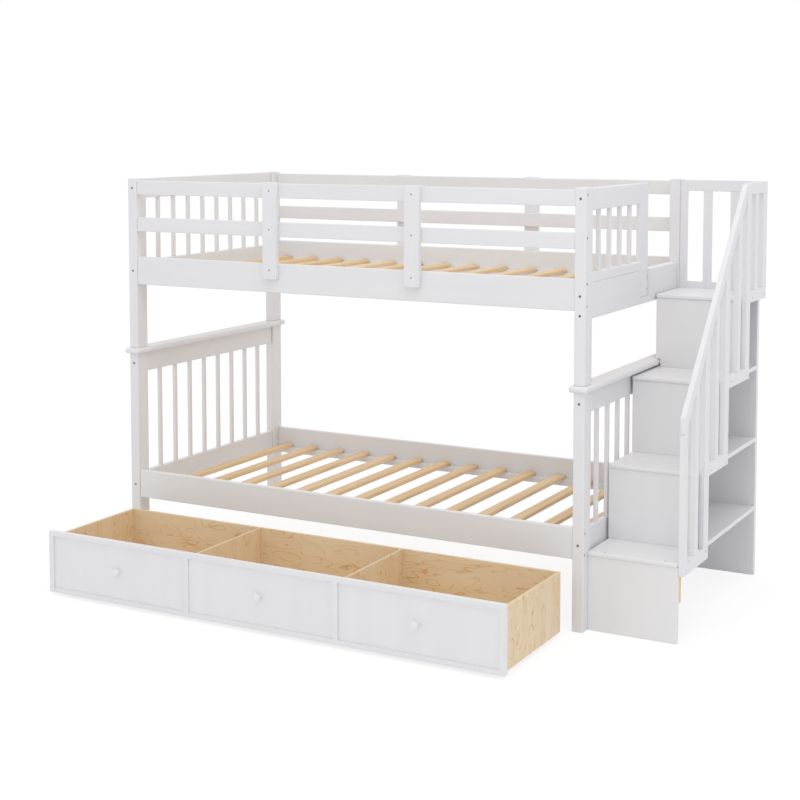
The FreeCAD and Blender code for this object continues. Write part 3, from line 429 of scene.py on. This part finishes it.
# caster forks: plate and cheeks bent from one strip, cheeks tapered to a round end at the axle
PLATE = 2.0                   # thickness of the strip
FOOT = 8                      # radius of a cheek's round end
SHOULDER = 5                  # height of a cheek's square top, under which it tapers
SET_IN = 3                    # a cheek's top is shorter than the plate by this at each end
mesh = bmesh.new()
for low, high, _ in solids("caster_forks"):
    half_wide, half_long, half_tall = (high - low) / 2 / MM
    axle = 2 * half_tall - FOOT
    place = Matrix.Translation(((low[0] + high[0]) / 2, (low[1] + high[1]) / 2, high[2]))
    for side in (-1, 1):
        outline = [(-half_long + SET_IN, 0), (-half_long / 2 - 1, -SHOULDER)]
        outline += [(-FOOT * math.cos(turn), -axle - FOOT * math.sin(turn))
                    for turn in np.linspace(0, math.pi, 13)]
        outline += [(half_long / 2 + 1, -SHOULDER), (half_long - SET_IN, 0)]
        outer = [mesh.verts.new(place @ Vector((side * half_wide * MM, y * MM, z * MM)))
                 for y, z in outline]
        inner = [mesh.verts.new(place @ Vector((side * (half_wide - PLATE) * MM, y * MM, z * MM)))
                 for y, z in outline]
        mesh.faces.new(outer)
        mesh.faces.new(inner[::-1])
        for i in range(len(outline)):
            j = (i + 1) % len(outline)
            mesh.faces.new((outer[i], inner[i], inner[j], outer[j]))
    corners = [(x * (half_wide - PLATE), y * half_long)
               for x, y in ((-1, -1), (1, -1), (1, 1), (-1, 1))]
    top = [mesh.verts.new(place @ Vector((x * MM, y * MM, 0))) for x, y in corners]
    under = [mesh.verts.new(place @ Vector((x * MM, y * MM, -PLATE * MM))) for x, y in corners]
    mesh.faces.new(top)
    mesh.faces.new(under[::-1])
    for i in range(4):
        j = (i + 1) % 4
        mesh.faces.new((top[i], under[i], under[j], top[j]))
bracket = finish_piece("caster_strip_forks", mesh, ZINC, "drawer", ["caster_forks"])
bevel = bracket.modifiers.new("rolled_edges", "BEVEL")
bevel.width = 0.4 * MM
bevel.segments = 2

# ---- floor, light and camera ----
FAR = 40.0                    # the floor ends beyond what a view can show
data = bpy.data.meshes.new("studio_floor")
data.from_pydata([(-FAR, -FAR, 0), (FAR, -FAR, 0), (FAR, FAR, 0), (-FAR, FAR, 0)], [], [(0, 1, 2, 3)])
floor = bpy.data.objects.new("studio_floor", data)
bpy.context.scene.collection.objects.link(floor)


def seen_rays(tree):
    """1 for rays that look at the stage: from the camera, from gloss and through glass."""
    path = add(tree, "LightPath").outputs
    share = path["Is Camera Ray"]
    for name in ("Is Glossy Ray", "Is Transmission Ray"):
        share = add(tree, "Math", {0: share, 1: path[name]}, operation="MAXIMUM").outputs[0]
    return share


# a matt white floor that glows softly where it is looked at, so that only shadows show on it
material, tree, shader = begin("matt_white_floor", base_color=linear("#F6F6F7"), roughness=0.9)
glow = add(tree, "Emission", {"Color": linear("#FFFFFF"), "Strength": 1.07})
share = add(tree, "Math", {0: seen_rays(tree), 1: 0.75}, operation="MULTIPLY").outputs[0]
both = add(tree, "MixShader", {0: share, 1: shader.outputs[0], 2: glow.outputs[0]})
tree.links.new(both.outputs[0], tree.nodes["Material Output"].inputs["Surface"])
data.materials.append(material)

# plain white all round, a little weaker as light than as a backdrop
world = bpy.data.worlds.new("soft_studio")
bpy.context.scene.world = world
world.use_nodes = True
tree = world.node_tree
light = tree.nodes["Background"]
light.inputs["Color"].default_value = linear("#FFFFFF")
light.inputs["Strength"].default_value = 0.85
shown = add(tree, "Background", {"Color": linear("#FFFFFF"), "Strength": 1.0})
both = add(tree, "MixShader", {0: seen_rays(tree), 1: light.outputs[0], 2: shown.outputs[0]})
tree.links.new(both.outputs[0], tree.nodes["World Output"].inputs["Surface"])


OBJECT_MIDDLE = (1.1, 0.4, 0.8)
SOFT_BOX_SIDE = 4.0


def soft_box(name, place, power):
    """A large square lamp at a place, in metres, that looks at the object's middle."""
    data = bpy.data.lights.new(name, "AREA")
    data.shape = "SQUARE"
    data.size = SOFT_BOX_SIDE
    data.energy = power
    lamp = bpy.data.objects.new(name, data)
    lamp.location = place
    aim = Vector(OBJECT_MIDDLE) - Vector(place)
    lamp.rotation_euler = aim.to_track_quat("-Z", "Y").to_euler()
    bpy.context.scene.collection.objects.link(lamp)


soft_box("key_soft_box", (2.9, -1.5, 6.0), 76)
soft_box("front_soft_box", (0.8, -6.5, 1.6), 10)

# the camera that the photograph's straight lines give, with a smaller shift
data = bpy.data.cameras.new("view")
data.lens = 69.52
data.sensor_width = 36
data.shift_y = -0.2
camera = bpy.data.objects.new("view", data)
camera.location = (3.9763, -5.0243, 1.7889)
camera.rotation_euler = (math.radians(90 - 4.238), 0, math.radians(28.691))
bpy.context.scene.collection.objects.link(camera)
bpy.context.scene.camera = camera
bpy.context.scene.view_settings.view_transform = "Standard"
